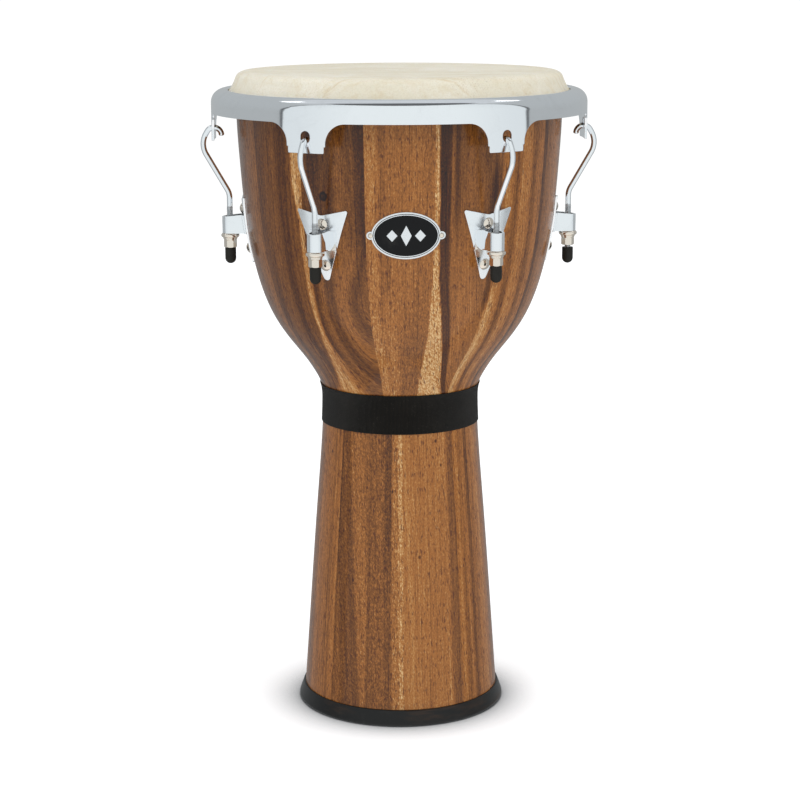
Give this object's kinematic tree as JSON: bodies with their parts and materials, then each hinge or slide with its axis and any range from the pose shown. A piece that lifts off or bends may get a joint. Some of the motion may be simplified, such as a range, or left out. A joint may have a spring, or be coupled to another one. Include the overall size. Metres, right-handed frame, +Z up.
{
  "type": "djembe",
  "caption": "Goblet-shaped hand drum with a stave-built wooden shell, rawhide head, chrome rim pulled down by hooked tuning rods, waist band and rubber foot ring.",
  "frame": {"origin": "middle of the foot ring's underside, on the floor", "axes": "+Z up along the drum's axis to the playing head; the badge faces -Y and two of the lugs lie on the X axis"},
  "size_m": [0.3876, 0.3654, 0.635],
  "materials": {
    "bowl_wood": "satin lacquer over figured brown staves",
    "foot_wood": "satin lacquer over figured brown staves",
    "webbing": "ribbed black webbing",
    "ring_rubber": "satin black",
    "rawhide": "natural untreated hide",
    "hoop_steel": "plain",
    "rim_chrome": "polished",
    "plate_chrome": "polished",
    "bracket_chrome": "polished",
    "rod_chrome": "polished, rolled thread",
    "nickel": "warm nickel plate",
    "zinc": "zinc plate",
    "cap_rubber": "matt black",
    "badge_metal": "satin",
    "badge_black": "gloss black fill"
  },
  "bodies": {
    "shell": {"bowl_staves": "bowl_wood", "foot_staves": "foot_wood", "waist_band": "webbing", "foot_ring": "ring_rubber", "drumhead": "rawhide", "side_plate_1": "plate_chrome", "side_plate_2": "plate_chrome", "side_plate_3": "plate_chrome", "side_plate_4": "plate_chrome", "side_plate_5": "plate_chrome", "side_plate_6": "plate_chrome", "rod_bracket_1": "bracket_chrome", "rod_bracket_2": "bracket_chrome", "rod_bracket_3": "bracket_chrome", "rod_bracket_4": "bracket_chrome", "rod_bracket_5": "bracket_chrome", "rod_bracket_6": "bracket_chrome", "dome_washer_1": "nickel", "dome_washer_2": "nickel", "dome_washer_3": "nickel", "dome_washer_4": "nickel", "dome_washer_5": "nickel", "dome_washer_6": "nickel", "flat_washers": "nickel", "plate_bolts": "nickel", "plate_bolt_washers": "zinc", "plate_bolt_nuts": "zinc", "badge_plate": "badge_metal", "badge_enamel": "badge_black", "badge_pins": "nickel"},
    "rim": {"rim": "rim_chrome", "flesh_hoop": "hoop_steel", "tension_rod_1": "rod_chrome", "tension_rod_2": "rod_chrome", "tension_rod_3": "rod_chrome", "tension_rod_4": "rod_chrome", "tension_rod_5": "rod_chrome", "tension_rod_6": "rod_chrome", "rod_cap_1": "cap_rubber", "rod_cap_2": "cap_rubber", "rod_cap_3": "cap_rubber", "rod_cap_4": "cap_rubber", "rod_cap_5": "cap_rubber", "rod_cap_6": "cap_rubber"},
    "nut_1": {"tuning_nut_1": "nickel"},
    "nut_2": {"tuning_nut_2": "nickel"},
    "nut_3": {"tuning_nut_3": "nickel"},
    "nut_4": {"tuning_nut_4": "nickel"},
    "nut_5": {"tuning_nut_5": "nickel"},
    "nut_6": {"tuning_nut_6": "nickel"}
  },
  "joints": [
    {"name": "rim_travel", "type": "slide", "parent": "shell", "child": "rim", "axis": [0, 0, -1], "range_m": [0, 0.006], "deforming": ["drumhead"]},
    {"name": "nut_turn_1", "type": "hinge", "parent": "shell", "child": "nut_1", "pos_m": [-0.08325, -0.14419, 0.4664], "axis": [0, 0, 1], "range_deg": [0, 1701.3]},
    {"name": "nut_turn_2", "type": "hinge", "parent": "shell", "child": "nut_2", "pos_m": [0.08325, -0.14419, 0.4664], "axis": [0, 0, 1], "range_deg": [0, 1701.3]},
    {"name": "nut_turn_3", "type": "hinge", "parent": "shell", "child": "nut_3", "pos_m": [0.1665, 0, 0.4664], "axis": [0, 0, 1], "range_deg": [0, 1701.3]},
    {"name": "nut_turn_4", "type": "hinge", "parent": "shell", "child": "nut_4", "pos_m": [0.08325, 0.14419, 0.4664], "axis": [0, 0, 1], "range_deg": [0, 1701.3]},
    {"name": "nut_turn_5", "type": "hinge", "parent": "shell", "child": "nut_5", "pos_m": [-0.08325, 0.14419, 0.4664], "axis": [0, 0, 1], "range_deg": [0, 1701.3]},
    {"name": "nut_turn_6", "type": "hinge", "parent": "shell", "child": "nut_6", "pos_m": [-0.1665, 0, 0.4664], "axis": [0, 0, 1], "range_deg": [0, 1701.3]}
  ],
  "couplings": [
    {"joint": "nut_turn_1", "follows": "rim_travel", "rad_per_m": 4947.4},
    {"joint": "nut_turn_2", "follows": "rim_travel", "rad_per_m": 4947.4},
    {"joint": "nut_turn_3", "follows": "rim_travel", "rad_per_m": 4947.4},
    {"joint": "nut_turn_4", "follows": "rim_travel", "rad_per_m": 4947.4},
    {"joint": "nut_turn_5", "follows": "rim_travel", "rad_per_m": 4947.4},
    {"joint": "nut_turn_6", "follows": "rim_travel", "rad_per_m": 4947.4}
  ]
}
